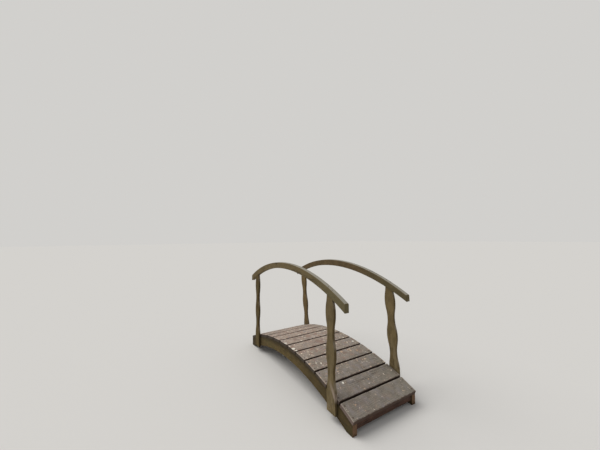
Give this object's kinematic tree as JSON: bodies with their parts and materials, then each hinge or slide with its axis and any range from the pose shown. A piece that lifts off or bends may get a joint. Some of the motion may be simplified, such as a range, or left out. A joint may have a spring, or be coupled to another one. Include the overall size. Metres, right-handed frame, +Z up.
{
  "type": "wooden footbridge",
  "caption": "Small arched garden footbridge of weathered wood with cross deck boards and an arched handrail on wavy posts at each side, the right-hand railing leaning in a little.",
  "frame": {"origin": "on the ground, midway between the two ends and the two sides", "axes": "+X along the bridge towards the near end, +Y across it towards the right-hand rail as seen in the picture, +Z up"},
  "size_m": [1.7702, 0.694, 1.0532],
  "materials": {
    "stringer_wood": "weathered, dark olive brown",
    "batten_wood": "dark red-brown, damp",
    "deck_wood": "weathered grey-brown with pale specks",
    "post_wood": "weathered olive grey-brown with a green tint",
    "rail_wood": "weathered, pale grey on top",
    "screw_steel": "dark, dull and lightly rusted"
  },
  "bodies": {
    "root": {"stringer_left": "stringer_wood", "stringer_right": "stringer_wood", "end_batten_near": "batten_wood", "end_batten_far": "batten_wood", "deck_board_01": "deck_wood", "deck_board_02": "deck_wood", "deck_board_03": "deck_wood", "deck_board_04": "deck_wood", "deck_board_05": "deck_wood", "deck_board_06": "deck_wood", "deck_board_07": "deck_wood", "deck_board_08": "deck_wood", "deck_board_09": "deck_wood", "deck_board_10": "deck_wood", "deck_board_11": "deck_wood", "deck_board_12": "deck_wood", "post_near_left": "post_wood", "post_near_right": "post_wood", "post_far_left": "post_wood", "post_far_right": "post_wood", "handrail_left": "rail_wood", "handrail_right": "rail_wood"}
  },
  "joints": []
}
